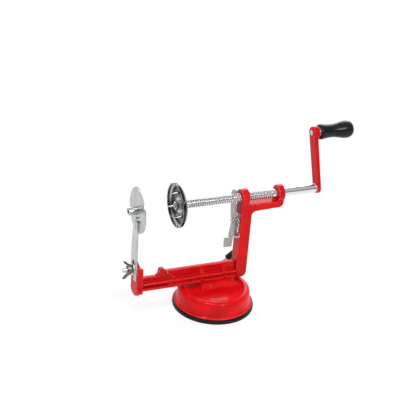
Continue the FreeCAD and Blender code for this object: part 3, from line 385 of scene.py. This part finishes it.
def dishFinish(name):
    finish = Finish(name, plating["constants"])
    reach = finish.reachFrom(dish["axis"])
    blur = dish["hollowBlur"]
    hollow = finish.ramp(reach, dish["hollowStart"], dish["hollowStart"] + blur)
    hollow = hollow * (1 - finish.ramp(reach, dish["hollowEnd"] - blur, dish["hollowEnd"]))
    hollow = hollow * finish.ramp(finish.along(), dish["front"], dish["front"] + dish["frontBlur"])
    wall = finish.ramp(reach, dish["wallStart"], dish["wallStart"] + dish["wallBlur"])
    cloud = finish.noise(dish["cloudSize"], *cloudy)
    scratches = finish.noise(dish["scratchSize"], *scratched)
    depth = dish["hollowLeast"] + (1 - dish["hollowLeast"]) * cloud
    # The hollow gets painted shade and a painted dark reflection, and the outer wall gets a painted dark
    # reflection
    shadeAndReflectionMask = finish.clamped(hollow * depth + dish["wallReflectionShare"] * wall)
    finish.feed("Base Color", finish.blend(shadeAndReflectionMask, dish["bright"], dish["shadeAndReflectionTone"]))
    finish.feed("Roughness", dish["roughness"] + dish["cloudRough"] * cloud
                + dish["scratchRough"] * scratches)
    finish.bump(scratches, dish["scratchDepth"], finish.rounded(dish["edgeRadius"]))
    return finish.material


# Moulded plastic and rubber, rubbed paler on its edges

moulding = {
    "cloudSize": 14 * milli,
    "cloudRange": (0.5, 0.8),
    "cloudShare": 0.35,
    "cloudRough": 0.14,
    "grainPolish": 0.08,  # roughness that the grain's tops lose
    "edgeRadius": 0.4 * milli,
    "edgeRange": (0.03, 0.3),
    "edgeShare": 0.6,
}


def mouldedFinish(name, colour, rubbed, roughness, grainSize, grainDepth, shine=0.25):
    finish = Finish(name, {"Specular IOR Level": shine})
    cloud = finish.noise(moulding["cloudSize"], 3)
    grain = finish.noise(grainSize, 2)
    rounded = finish.rounded(moulding["edgeRadius"])
    edge = finish.ramp(finish.edges(rounded), *moulding["edgeRange"])
    clouds = finish.ramp(cloud, *moulding["cloudRange"])
    rub = finish.clamped(edge * moulding["edgeShare"] + clouds * moulding["cloudShare"])
    finish.feed("Base Color", finish.blend(rub, colour, rubbed))
    finish.feed("Roughness", roughness + moulding["cloudRough"] * cloud - moulding["grainPolish"] * grain)
    finish.bump(grain, grainDepth, rounded)
    return finish.material


# Direction of a metal's grain
upright = (1, 1, 0.06)
even = (1, 1, 1)

finishes = {
    "frame_paint": enamelFinish("frameEnamel", tone=enamel["red"], peel=1.0),
    "base_paint": enamelFinish("baseEnamel", tone=shade(0.74, 0.004, 0.008), peel=1.3),
    "crank_paint": enamelFinish("crankEnamel", tone=shade(0.56, 0.005, 0.009), peel=0.9),
    "cup_rubber": mouldedFinish(
        "cupRubber", colour=shade(0.006, 0.006, 0.006), rubbed=shade(0.02, 0.02, 0.019),
        roughness=0.42, grainSize=0.7 * milli, grainDepth=0.01 * milli, shine=0.2),
    "stem_steel": platedFinish(
        "turnedSteel", bright=shade(0.56, 0.56, 0.57), dull=shade(0.4, 0.4, 0.4),
        roughness=0.28, grain=even, grainDepth=0.004 * milli),
    "lever_plating": platedFinish(
        "leverChrome", bright=shade(0.8, 0.8, 0.82), dull=shade(0.5, 0.5, 0.52),
        roughness=0.12, grain=even, grainDepth=0.0002 * milli),
    "tip_plastic": mouldedFinish(
        "tipPlastic", colour=shade(0.006, 0.006, 0.007), rubbed=shade(0.028, 0.028, 0.03),
        roughness=0.3, grainSize=0.5 * milli, grainDepth=0.006 * milli),
    "bush_plastic": mouldedFinish(
        "bushPlastic", colour=shade(0.02, 0.02, 0.021), rubbed=shade(0.05, 0.05, 0.05),
        roughness=0.45, grainSize=0.5 * milli, grainDepth=0.006 * milli),
    "fastener_steel": platedFinish(
        "zincPlate", bright=shade(0.66, 0.67, 0.69), dull=shade(0.46, 0.47, 0.49),
        roughness=0.24, grain=even, grainDepth=0.004 * milli, blotch=6 * milli),
    "shaft_plating": screwFinish("shaftChrome"),
    "dish_steel": dishFinish("dishSteelWithPaintedReflection"),
    "grip_plastic": mouldedFinish(
        "gripPlastic", colour=shade(0.005, 0.006, 0.006), rubbed=shade(0.018, 0.019, 0.02),
        roughness=0.27, grainSize=0.6 * milli, grainDepth=0.008 * milli, shine=0.24),
    "plate_steel": platedFinish(
        "plateSteel", bright=shade(0.43, 0.44, 0.43), dull=shade(0.27, 0.28, 0.27),
        roughness=0.28, grain=upright, grainDepth=0.006 * milli, blotch=9 * milli),
    "spring_steel": platedFinish(
        "springSteel", bright=shade(0.66, 0.66, 0.67), dull=shade(0.42, 0.42, 0.43),
        roughness=0.14, grain=even, grainDepth=0.002 * milli, blotch=5 * milli),
    "blade_steel": platedFinish(
        "bladeSteel", bright=shade(0.6, 0.61, 0.61), dull=shade(0.42, 0.43, 0.43),
        roughness=0.2, grain=upright, grainDepth=0.005 * milli),
    "wing_brass": platedFinish(
        "wingBrass", bright=shade(0.3, 0.27, 0.21), dull=shade(0.05, 0.042, 0.032),
        roughness=0.26, grain=even, grainDepth=0.01 * milli, blotch=4 * milli),
}
print("finishes made:", len(finishes))


def dress(piece, slot):
    piece.data.materials.clear()
    piece.data.materials.append(finishes[slot])


slotOf = {}
bodyOf = {}
for part in record["subparts"]:
    slotOf[part["node"]] = part["material_slot"]
for body, members in record["behaviour"]["bodies"].items():
    for member in members:
        bodyOf[member] = body
for name, node in frame["nodes"].items():
    dress(node, slotOf[name])
print("CAD nodes dressed:", len(frame["nodes"]))


# Tools for modelling by hand

facing = 0.9  # a face whose normal goes this far along an axis faces that way
aside = 0.1  # and one whose normal goes less than this far lies along it
subdivisions = 2


def alone(piece):
    bpy.ops.object.select_all(action="DESELECT")
    piece.select_set(True)
    bpy.context.view_layer.objects.active = piece


def pick(piece, kind, test):
    # In edit mode, selects the vertices or faces that pass the test
    bpy.ops.mesh.select_mode(type=kind)
    bpy.ops.mesh.select_all(action="DESELECT")
    mesh = bmesh.from_edit_mesh(piece.data)
    for part in {"VERT": mesh.verts, "FACE": mesh.faces}[kind]:
        if test(part):
            part.select_set(True)
    mesh.select_flush_mode()
    bmesh.update_edit_mesh(piece.data)


def turnUp(name, sides, profile):
    # A ring pulled out of a circle step by step, as (radius, height); both ends are closed flat
    bpy.ops.object.select_all(action="DESELECT")
    radius, height = profile[0]
    bpy.ops.mesh.primitive_circle_add(vertices=sides, radius=radius, fill_type="NGON",
                                      location=(0, 0, height))
    piece = bpy.context.active_object
    piece.name = name
    bpy.ops.object.transform_apply(location=True, rotation=False, scale=False)
    bpy.ops.object.mode_set(mode="EDIT")
    bpy.ops.mesh.select_all(action="SELECT")
    for nextRadius, nextHeight in profile[1:]:
        bpy.ops.mesh.extrude_region_move(TRANSFORM_OT_translate={"value": (0, 0, nextHeight - height)})
        ratio = nextRadius / radius
        bpy.ops.transform.resize(value=(ratio, ratio, 1), center_override=(0, 0, nextHeight))
        radius, height = nextRadius, nextHeight
    bpy.ops.mesh.select_all(action="SELECT")
    bpy.ops.mesh.normals_make_consistent(inside=False)
    bpy.ops.object.mode_set(mode="OBJECT")
    return piece


def smoothed(piece):
    alone(piece)
    finer = piece.modifiers.new("finer", "SUBSURF")
    finer.levels = subdivisions
    finer.render_levels = subdivisions
    bpy.ops.object.modifier_apply(modifier=finer.name)
    bpy.ops.object.shade_smooth()


def fit(piece, node):
    # The piece takes the node's place on its body, its finish and its slot
    dress(piece, slotOf[node])
    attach(piece, bodyOf[node])
    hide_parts(node)
    print(piece.name, "made,", len(piece.data.polygons), "faces")


def castCopy(name, pieceName, look, blocks=()):
    # A copy of a CAD node, its loose triangles merged and blocks joined to it, then rounded all over
    piece = frame["nodes"][name].copy()
    piece.data = piece.data.copy()
    piece.name = pieceName
    piece.parent = None
    for key in list(piece.keys()):
        del piece[key]
    bpy.context.scene.collection.objects.link(piece)
    alone(piece)
    bpy.ops.object.mode_set(mode="EDIT")
    bpy.ops.mesh.select_all(action="SELECT")
    bpy.ops.mesh.remove_doubles(threshold=mergeDistance)
    bpy.ops.object.mode_set(mode="OBJECT")
    for block in blocks:
        block.select_set(True)
    if blocks:
        bpy.ops.object.join()
    skin = piece.modifiers.new("skin", "REMESH")
    skin.mode = "VOXEL"
    skin.voxel_size = look["voxel"]
    skin.use_smooth_shade = True
    bpy.ops.object.modifier_apply(modifier=skin.name)
    soften = piece.modifiers.new("soften", "SMOOTH")
    soften.factor = 0.5
    soften.iterations = look["softening"]
    bpy.ops.object.modifier_apply(modifier=soften.name)
    fit(piece, name)
    return piece


# Cast frame: rounded edges, three filled bays under the beam's shelf, and a pointed gusset where the
# beam grows deeper; lengths and heights are taken from the casting's low corner

beam = {
    "voxel": 0.62 * milli,
    "softening": 2,
    "bays": ((51 * milli, 88 * milli), (94 * milli, 119 * milli), (125 * milli, 138 * milli)),
    "bayBottom": 7.5 * milli,
    "bayTop": 15 * milli,
    "bayFront": 5.8 * milli,  # before the beam's middle
    "bayTaper": 0.8 * milli,
    # Down the gusset's nose, as (length, height)
    "nose": ((42 * milli, 27.7 * milli), (52 * milli, 19.5 * milli), (46.5 * milli, 9.5 * milli)),
    "noseWidth": 2.4 * milli,
    "noseLap": 0.6,  # share of the width by which its bars run past their ends
    "noseFront": 6.6 * milli,
    "root": 1 * milli,  # how far both reach behind the middle
}


def addBay(start, end):
    # Block whose front face is drawn in by the taper
    low = Vector((castLow.x + start, shaftCentre.y - beam["bayFront"], castLow.z + beam["bayBottom"]))
    high = Vector((castLow.x + end, shaftCentre.y + beam["root"], castLow.z + beam["bayTop"]))
    taper = beam["bayTaper"]
    bpy.ops.object.select_all(action="DESELECT")
    bpy.ops.mesh.primitive_cube_add(size=1, location=(low + high) / 2)
    block = bpy.context.active_object
    block.scale = high - low
    bpy.ops.object.transform_apply(location=True, rotation=False, scale=True)
    bpy.ops.object.mode_set(mode="EDIT")
    pick(block, "FACE", lambda face: face.normal.y < -facing)
    bpy.ops.mesh.inset(thickness=taper)
    bpy.ops.transform.translate(value=(0, -taper, 0))
    bpy.ops.object.mode_set(mode="OBJECT")
    return block


def addRib(start, end):
    # Bar that stands out of the beam's web, from start to end
    along = Vector(end) - Vector(start)
    middle = Vector((castLow.x, castLow.z)) + (Vector(start) + Vector(end)) / 2
    front = shaftCentre.y - beam["noseFront"]
    back = shaftCentre.y + beam["root"]
    bpy.ops.object.select_all(action="DESELECT")
    bpy.ops.mesh.primitive_cube_add(size=1, location=(middle.x, (front + back) / 2, middle.y))
    rib = bpy.context.active_object
    rib.scale = (along.length + beam["noseWidth"] * beam["noseLap"], back - front, beam["noseWidth"])
    rib.rotation_euler = (0, -math.atan2(along.y, along.x), 0)
    bpy.ops.object.transform_apply(location=True, rotation=True, scale=True)
    return rib


def makeFrame():
    bays = [addBay(start, end) for start, end in beam["bays"]]
    ribs = [addRib(start, end) for start, end in zip(beam["nose"], beam["nose"][1:])]
    castCopy("frame_casting", "cast_frame", beam, bays + ribs)


makeFrame()


# Crank arm

crank = {
    "voxel": 0.4 * milli,
    "softening": 3,
}
castCopy("crank_arm", "forged_crank", crank)


# Base shell: the stem's guide is opened a little, so that the stem slides free in the rounded bore

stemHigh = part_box("suction_stem")[1]
base = {
    "voxel": 0.68 * milli,
    "softening": 2,
    "boreReach": stemHigh.x + 0.6 * milli,
    "boreClearance": 1.08,
    "roofReach": stemHigh.x + 1.3 * milli,
    "roofHeight": stemHigh.z + 3.4 * milli,
    "roofBand": 1.3 * milli,
    "roofClearance": 0.5 * milli,
}


def makeBase():
    piece = castCopy("base_housing", "pressed_base", base)
    spread = base["boreClearance"]
    bpy.ops.object.mode_set(mode="EDIT")
    pick(piece, "VERT", lambda vert: vert.co.xy.length < base["boreReach"])
    bpy.ops.transform.resize(value=(spread, spread, 1), center_override=(0, 0, 0))
    pick(piece, "VERT", lambda vert: vert.co.xy.length < base["roofReach"]
         and abs(vert.co.z - base["roofHeight"]) < base["roofBand"])
    bpy.ops.transform.translate(value=(0, 0, base["roofClearance"]))
    bpy.ops.object.mode_set(mode="OBJECT")


makeBase()


# Rubber cup: a flat ring under the housing's foot, a bead round its edge, hollow underneath

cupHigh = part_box("suction_cup")[1]
cup = {
    "radius": cupHigh.x,
    "top": cupHigh.z,
    "lipThickness": 1.1 * milli,
    "lipEdge": 0.7,  # share of the lip's thickness that its edge takes
    "bead": 0.9 * milli,
    "groove": 0.35 * milli,
    "hollow": 1.6 * milli,
    "crown": 3.2 * milli,  # height of the middle's top face
    "seat": 40 * milli,
    "sides": 96,
    # Shares of the radius and of the hollow's height
    "underside": ((0.3, 1), (0.62, 0.9), (0.86, 0.45)),
    # Distance in from the rim, and height
    "foot": ((3 * milli, 0.05 * milli), (1.6 * milli, 0), (0.5 * milli, 0.1 * milli)),
    # Shares of the groove's depth and of the top's height
    "waist": ((1, 0.5), (0.2, 0.62), (0, 0.8)),
    # Distance in from the rim, and drop below the top
    "shoulder": ((0.5 * milli, 0.15 * milli), (1.5 * milli, 0)),
    # Distance out from the seat, and drop below the top or height over the crown
    "stepTop": ((5 * milli, 0), (3.8 * milli, 0.1 * milli)),
    "stepFoot": ((0.5 * milli, 0.1 * milli), (-1 * milli, 0)),
}


def makeCup():
    radius = cup["radius"]
    top = cup["top"]
    lip = cup["lipThickness"]
    seat = cup["seat"]
    crown = cup["crown"]
    profile = [(radius * share, cup["hollow"] * level) for share, level in cup["underside"]]
    middle = profile[0][0]
    profile += [(radius - inward, height) for inward, height in cup["foot"]]
    profile += [(radius, lip * cup["lipEdge"]), (radius, lip + cup["bead"])]
    profile += [(radius - cup["groove"] * depth, top * level) for depth, level in cup["waist"]]
    profile += [(radius - inward, top - drop) for inward, drop in cup["shoulder"]]
    profile += [(seat + outward, top - drop) for outward, drop in cup["stepTop"]]
    profile += [(seat + outward, crown + rise) for outward, rise in cup["stepFoot"]]
    profile.append((middle, crown))
    piece = turnUp("rubber_cup", cup["sides"], profile)
    smoothed(piece)
    fit(piece, "suction_cup")


makeCup()


# Crank grip: narrow collar, waist and full bulb, turned along the axle

gripLow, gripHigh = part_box("handle_grip")
grip = {
    "axis": (gripLow + gripHigh) / 2,
    "start": gripLow.x,
    "end": gripHigh.x,
    "bore": 5.2 * milli,
    "boreLip": 0.4 * milli,
    "boreDepth": 2 * milli,
    "boreFloor": 0.4,  # share of the bore at which its floor's ring lies
    "boreSink": 0.2 * milli,
    "collar": (0.35, 0.8),  # rings on the collar's end face, as shares of its radius
    "sides": 48,
    # Share of the length from the collar, and radius
    "profile": ((0.0, 9.2 * milli), (0.012, 9.85 * milli), (0.05, 10.1 * milli), (0.1, 9.9 * milli),
                (0.2, 9.0 * milli), (0.38, 8.3 * milli), (0.52, 9.1 * milli), (0.66, 10.7 * milli),
                (0.79, 11.6 * milli), (0.9, 11.0 * milli), (0.965, 9.3 * milli), (0.995, 7.2 * milli),
                (1.0, 6.0 * milli)),
}


def makeGrip():
    length = grip["end"] - grip["start"]
    bore = grip["bore"]
    lip = grip["boreLip"]
    floor = length - grip["boreDepth"]
    rings = [(radius, share * length) for share, radius in grip["profile"]]
    collar = [(rings[0][0] * share, 0) for share in grip["collar"]]
    recess = [(bore, length - lip), (bore - lip, floor),
              (bore * grip["boreFloor"], floor - grip["boreSink"])]
    piece = turnUp("turned_grip", grip["sides"], collar + rings + recess)
    piece.rotation_euler = (0, math.radians(90), 0)
    piece.location = (grip["start"], grip["axis"].y, grip["axis"].z)
    bpy.ops.object.transform_apply(location=True, rotation=True, scale=False)
    smoothed(piece)
    fit(piece, "handle_grip")


makeGrip()


# Wing nut: drum hub with two thin wings swept away from the washer

wingLow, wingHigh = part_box("wing_nut")
wing = {
    "middle": (wingLow + wingHigh) / 2,
    "face": wingHigh.x,
    "hub": 5.2 * milli,
    "hubLength": 6.5 * milli,
    "bore": 3.1 * milli,
    "rim": 0.5 * milli,
    "reach": (wingHigh.z - wingLow.z) / 2,
    "sweep": wingHigh.x - wingLow.x,
    "sides": 24,
    "root": 0.8,  # the wings grow from faces further out than this share of the hub
    "thinning": 0.92,
    # One step of a wing: share of the reach, share of the sweep, widening
    "steps": ((0.22, 0.3, 0.62), (0.3, 0.55, 0.8), (0.3, 0.5, 1.3), (0.16, 0.1, 0.72)),
}


def makeWingNut():
    hub = wing["hub"]
    length = wing["hubLength"]
    bpy.ops.object.select_all(action="DESELECT")
    bpy.ops.mesh.primitive_cylinder_add(vertices=wing["sides"], radius=hub, depth=length,
                                        location=(0, 0, length / 2))
    piece = bpy.context.active_object
    piece.name = "cast_wing_nut"
    bpy.ops.object.transform_apply(location=True, rotation=False, scale=False)
    bpy.ops.object.mode_set(mode="EDIT")
    # Bore: both end faces inset, then bridged through
    pick(piece, "FACE", lambda face: abs(face.normal.z) > facing)
    bpy.ops.mesh.inset(thickness=wing["rim"], use_individual=True)
    bpy.ops.mesh.inset(thickness=hub - wing["rim"] - wing["bore"], use_individual=True)
    bpy.ops.mesh.bridge_edge_loops()
    # Wings: the side faces that look up and down the tool, pulled out in steps
    for way in (1, -1):
        pick(piece, "FACE", lambda face: face.normal.x * way > facing and abs(face.normal.z) < aside
             and abs(face.calc_center_median().x) > hub * wing["root"])
        for out, lift, widen in wing["steps"]:
            bpy.ops.mesh.extrude_region_move(TRANSFORM_OT_translate={
                "value": (way * out * (wing["reach"] - hub), 0, lift * (wing["sweep"] - length))})
            bpy.ops.transform.resize(value=(1, wing["thinning"], widen))
    bpy.ops.mesh.select_all(action="SELECT")
    bpy.ops.mesh.remove_doubles(threshold=mergeDistance)
    bpy.ops.mesh.normals_make_consistent(inside=False)
    bpy.ops.object.mode_set(mode="OBJECT")
    piece.rotation_euler = (0, math.radians(-90), 0)
    piece.location = (wing["face"], wing["middle"].y, wing["middle"].z)
    bpy.ops.object.transform_apply(location=True, rotation=True, scale=False)
    smoothed(piece)
    fit(piece, "wing_nut")


makeWingNut()


# Room

room = {
    "white": shade(1, 1, 1),
    "floorSize": 40,
    "floorTone": shade(0.9, 0.9, 0.9),
    "floorRoughness": 0.9,
    "nearShare": 0.72,  # of plain white in the floor round the tool, where its shadow has to show
    "nearRadius": 0.14,
    "clearRadius": 0.42,
    # Level of the light as (height, level), both ends first
    "roomSky": ((0.0, 0.4), (1.0, 0.5), (0.1, 0.12), (0.3, 0.18), (0.6, 0.5)),
    "wallSky": ((0.0, 0.95), (1.0, 0.5), (0.5, 0.95)),
    "wallFrom": -0.1,
    "wallTo": 0.35,
    "coolness": 1.02,  # blue against red
    "target": (0, 0, 0.09),
    # Place, size and power of each lamp
    "lamps": {
        "key": ((0.3, -1.35, 1.25), (0.4, 0.4), 14),
        "overhead": ((-0.3, -0.3, 1.6), (0.5, 0.3), 9),
        "wall": ((0.7, 1.5, 0.95), (1.4, 0.8), 14),
    },
}


def addFloor():
    bpy.ops.object.select_all(action="DESELECT")
    bpy.ops.mesh.primitive_plane_add(size=room["floorSize"], location=(0, 0, 0))
    floor = bpy.context.active_object
    floor.name = "floor"
    finish = Finish("paleFloor", {
        "Base Color": room["floorTone"], "Roughness": room["floorRoughness"], "Specular IOR Level": 0.0})
    seen = finish.clamped(finish.lightPath("Is Camera Ray") + finish.lightPath("Is Glossy Ray")
                          + finish.lightPath("Is Transmission Ray"))
    distance = finish.node("ShaderNodeVectorMath", {"operation": "LENGTH"}, {0: finish.place}, "Value")
    clear = finish.ramp(distance, room["nearRadius"], room["clearRadius"])
    share = room["nearShare"] + (1 - room["nearShare"]) * clear
    white = finish.node("ShaderNodeEmission", {}, {"Color": room["white"], "Strength": 1.0})
    lit = Wire(finish, finish.shader.outputs[0])
    surface = finish.node("ShaderNodeMixShader", {}, {0: seen * share, 1: lit, 2: white})
    finish.tree.links.new(surface.socket, finish.tree.nodes["Material Output"].inputs["Surface"])
    floor.data.materials.append(finish.material)


def skyLevels(nodes, height, levels):
    stops = [(position, shade(level, level, level * room["coolness"])) for position, level in levels]
    return nodes.node("ShaderNodeValToRGB", {"stops": stops}, {0: height})


def addWorld():
    # Pale studio wall behind the tool, a dim room before it; the camera sees plain white
    world = bpy.data.worlds.new("room")
    bpy.context.scene.world = world
    world.use_nodes = True
    nodes = Nodes(world.node_tree)
    direction = nodes.node("ShaderNodeTexCoord", {}, {}, "Generated")
    depth = nodes.node("ShaderNodeSeparateXYZ", {}, {0: direction}, "Y")
    height = nodes.node("ShaderNodeSeparateXYZ", {}, {0: direction}, "Z")
    behind = nodes.ramp(depth, room["wallFrom"], room["wallTo"])
    before = skyLevels(nodes, height, room["roomSky"])
    wall = skyLevels(nodes, height, room["wallSky"])
    sky = nodes.blend(behind, before, wall)
    seen = nodes.blend(nodes.lightPath("Is Camera Ray"), sky, room["white"])
    background = world.node_tree.nodes["Background"]
    world.node_tree.links.new(seen.socket, background.inputs["Color"])
    background.inputs["Strength"].default_value = 1.0


def addLamp(name, place, size, power):
    lamp = bpy.data.objects.new(name, bpy.data.lights.new(name, "AREA"))
    lamp.data.shape = "RECTANGLE"
    lamp.data.size, lamp.data.size_y = size
    lamp.data.energy = power
    lamp.visible_camera = False
    bpy.context.scene.collection.objects.link(lamp)
    lamp.location = place
    toward = Vector(room["target"]) - Vector(place)
    lamp.rotation_euler = toward.to_track_quat("-Z", "Y").to_euler()


addFloor()
addWorld()
for name, (place, size, power) in room["lamps"].items():
    addLamp(name, place, size, power)
bpy.context.scene.view_settings.view_transform = "Standard"
print("room lit")
